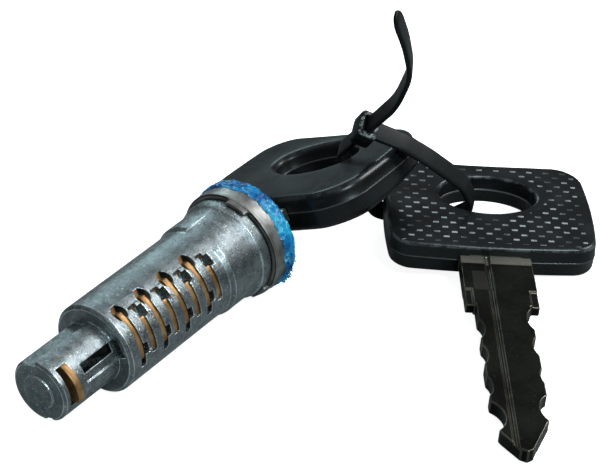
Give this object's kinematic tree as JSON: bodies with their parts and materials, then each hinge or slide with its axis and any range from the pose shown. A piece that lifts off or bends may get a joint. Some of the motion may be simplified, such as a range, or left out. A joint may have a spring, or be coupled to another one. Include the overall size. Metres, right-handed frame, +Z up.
{
  "type": "lock cylinder",
  "caption": "Wafer lock rotor with a steel cap and blue film band, a key in it, and a spare key joined to that key by a black cable tie.",
  "frame": {"origin": "on the rotor's axis, in the shoulder face between the tail and the body", "axes": "+X along the rotor's axis towards the keys, +Z up when the part lies on a table as in the picture"},
  "size_m": [0.1064, 0.0823, 0.0564],
  "materials": {
    "zinc": "satin",
    "cap_steel": "satin",
    "blue_film": "gloss",
    "brass": "satin",
    "spring_steel": "satin",
    "blade_steel": "satin",
    "bow_plastic": "satin",
    "tie_plastic": "satin"
  },
  "bodies": {
    "rotor_body": {"rotor": "zinc", "cap": "cap_steel", "film_band": "blue_film", "wafer_spring_1": "spring_steel", "wafer_spring_2": "spring_steel", "wafer_spring_3": "spring_steel", "wafer_spring_4": "spring_steel", "wafer_spring_5": "spring_steel", "wafer_spring_6": "spring_steel", "wafer_spring_7": "spring_steel", "wafer_spring_8": "spring_steel", "latch_spring": "spring_steel", "shutter_pin": "spring_steel", "shutter_spring": "spring_steel"},
    "wafer_1_body": {"wafer_1": "brass"},
    "wafer_2_body": {"wafer_2": "brass"},
    "wafer_3_body": {"wafer_3": "brass"},
    "wafer_4_body": {"wafer_4": "brass"},
    "wafer_5_body": {"wafer_5": "brass"},
    "wafer_6_body": {"wafer_6": "brass"},
    "wafer_7_body": {"wafer_7": "brass"},
    "wafer_8_body": {"wafer_8": "brass"},
    "latch_body": {"latch_wafer": "brass"},
    "shutter_body": {"shutter": "spring_steel"},
    "key_body": {"key_blade": "blade_steel", "key_bow": "bow_plastic", "cable_tie": "tie_plastic"},
    "spare_key_body": {"spare_key_blade": "blade_steel", "spare_key_bow": "bow_plastic"}
  },
  "joints": [
    {"name": "wafer_1_slide", "type": "slide", "parent": "rotor_body", "child": "wafer_1_body", "axis": [0, -0.9245, 0.3811], "range_m": [0, 0.001], "stiffness_N_per_m": 60},
    {"name": "wafer_2_slide", "type": "slide", "parent": "rotor_body", "child": "wafer_2_body", "axis": [0, 0.9245, -0.3811], "range_m": [0, 0.001], "stiffness_N_per_m": 60},
    {"name": "wafer_3_slide", "type": "slide", "parent": "rotor_body", "child": "wafer_3_body", "axis": [0, -0.9245, 0.3811], "range_m": [0, 0.001], "stiffness_N_per_m": 60},
    {"name": "wafer_4_slide", "type": "slide", "parent": "rotor_body", "child": "wafer_4_body", "axis": [0, 0.9245, -0.3811], "range_m": [0, 0.001], "stiffness_N_per_m": 60},
    {"name": "wafer_5_slide", "type": "slide", "parent": "rotor_body", "child": "wafer_5_body", "axis": [0, -0.9245, 0.3811], "range_m": [0, 0.001], "stiffness_N_per_m": 60},
    {"name": "wafer_6_slide", "type": "slide", "parent": "rotor_body", "child": "wafer_6_body", "axis": [0, 0.9245, -0.3811], "range_m": [0, 0.001], "stiffness_N_per_m": 60},
    {"name": "wafer_7_slide", "type": "slide", "parent": "rotor_body", "child": "wafer_7_body", "axis": [0, -0.9245, 0.3811], "range_m": [0, 0.001], "stiffness_N_per_m": 60},
    {"name": "wafer_8_slide", "type": "slide", "parent": "rotor_body", "child": "wafer_8_body", "axis": [0, 0.9245, -0.3811], "range_m": [0, 0.001], "stiffness_N_per_m": 60},
    {"name": "latch_slide", "type": "slide", "parent": "rotor_body", "child": "latch_body", "axis": [0, -0.9245, 0.3811], "range_m": [-0.0008, 0], "stiffness_N_per_m": 250, "deforming": ["latch_spring"]},
    {"name": "shutter_hinge", "type": "hinge", "parent": "rotor_body", "child": "shutter_body", "pos_m": [0.0373, -0.00049, -0.0012], "axis": [0, -0.9245, 0.3811], "range_deg": [-3, 12], "stiffness_Nm_per_rad": 0.002},
    {"name": "key_slide", "type": "slide", "parent": "rotor_body", "child": "key_body", "axis": [1, 0, 0], "range_m": [0, 0.0525]},
    {"name": "spare_key_swing", "type": "hinge", "parent": "key_body", "child": "spare_key_body", "pos_m": [0.0729, -0.0201, -0.0073], "axis": [0.0571, -0.086, 0.9947], "range_deg": [-5, 5]}
  ]
}
